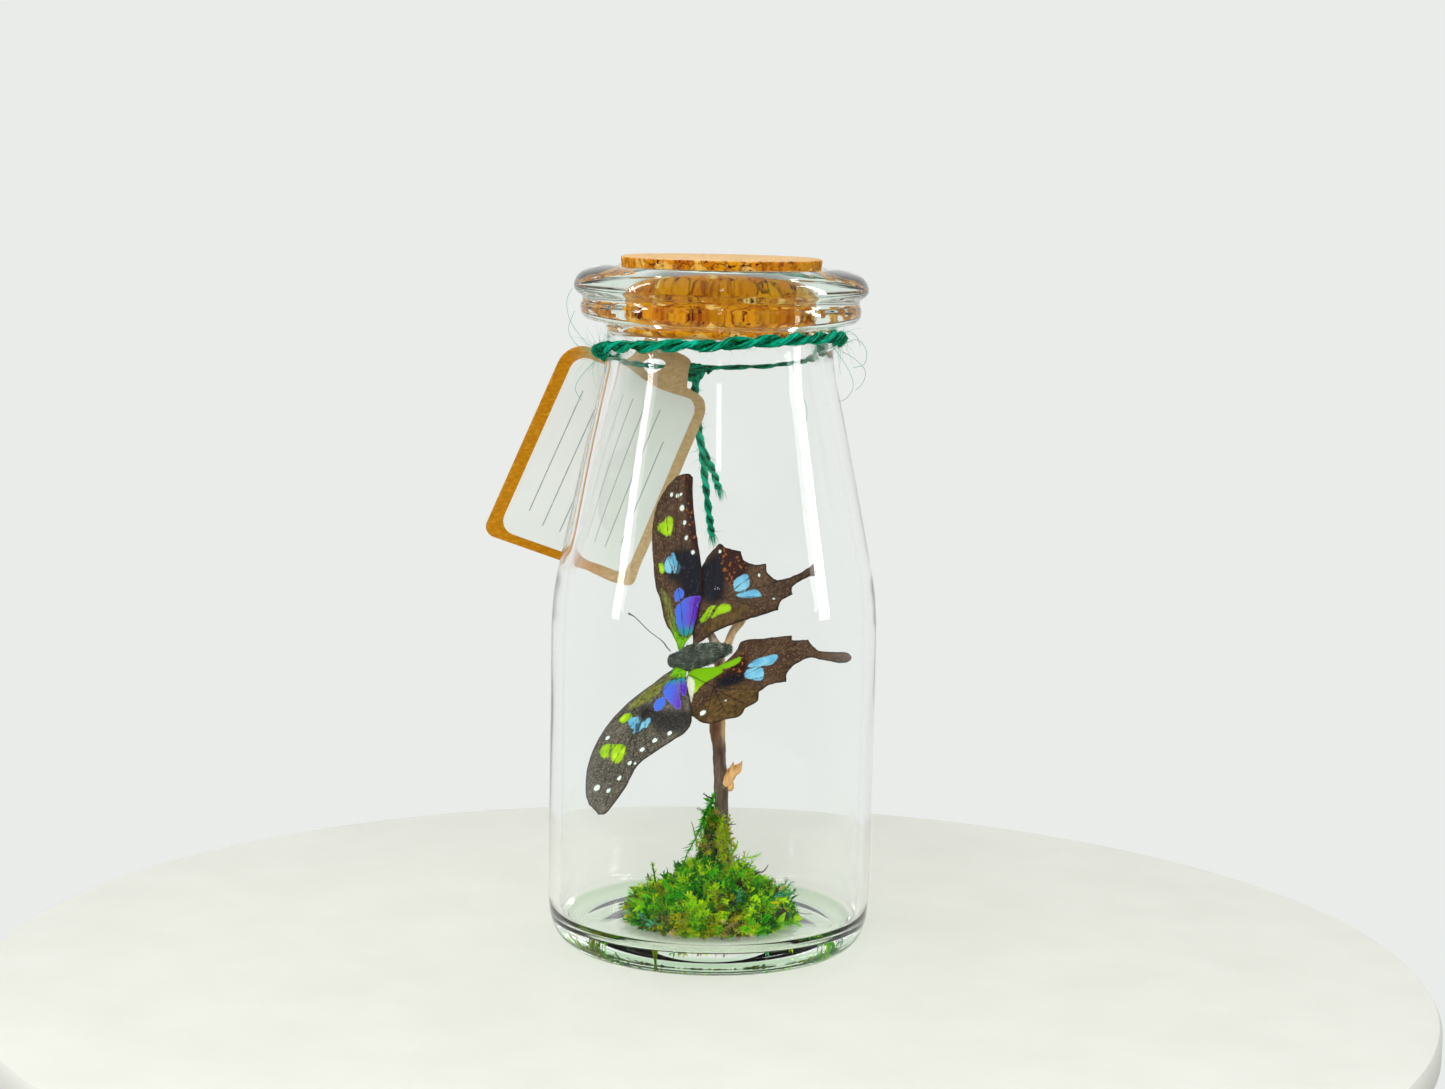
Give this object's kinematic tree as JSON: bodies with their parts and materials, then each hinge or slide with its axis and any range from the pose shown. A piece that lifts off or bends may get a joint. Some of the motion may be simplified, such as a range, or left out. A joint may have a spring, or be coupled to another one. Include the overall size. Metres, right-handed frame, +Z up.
{
  "type": "mounted butterfly in a corked glass bottle",
  "caption": "Swallowtail butterfly mounted on a mossy twig inside a round glass milk-type bottle closed with a cork, with a card tag tied on by green jute twine.",
  "frame": {"origin": "centre of the bottle's flat base", "axes": "+Z up the bottle; the butterfly's back and the front of the bottle are seen looking along +Y; the tag hangs at the left of the back"},
  "size_m": [0.0785, 0.0657, 0.1355],
  "materials": {
    "glass": "clear with a faint green tinge where it is thick",
    "cork": "pressed cork granules",
    "twine": "green jute, two-ply, hairy",
    "card": "matt brown card",
    "paper": "matt white paper with plain grey rules",
    "bark": "rough dark bark",
    "bare_wood": "peeled pale wood",
    "moss": "dry moss",
    "wing": "dark scales with blue, purple, green and white markings",
    "fur": "short dark hairs"
  },
  "bodies": {
    "root": {"bottle": "glass", "cork": "cork", "twine_loop": "twine", "twine_tail_long": "twine", "twine_tail_short": "twine", "tag": "card", "tag_label": "paper", "twig_stem": "bark", "twig_branch": "bare_wood", "moss": "moss", "bark_crumb": "bark", "butterfly_body": "fur", "antenna": "fur", "leg_right_1": "fur", "leg_right_2": "fur", "leg_right_3": "fur", "leg_left_1": "fur", "leg_left_2": "fur", "leg_left_3": "fur", "forewing_right": "wing", "forewing_left": "wing", "hindwing_right": "wing", "hindwing_left": "wing"}
  },
  "joints": []
}
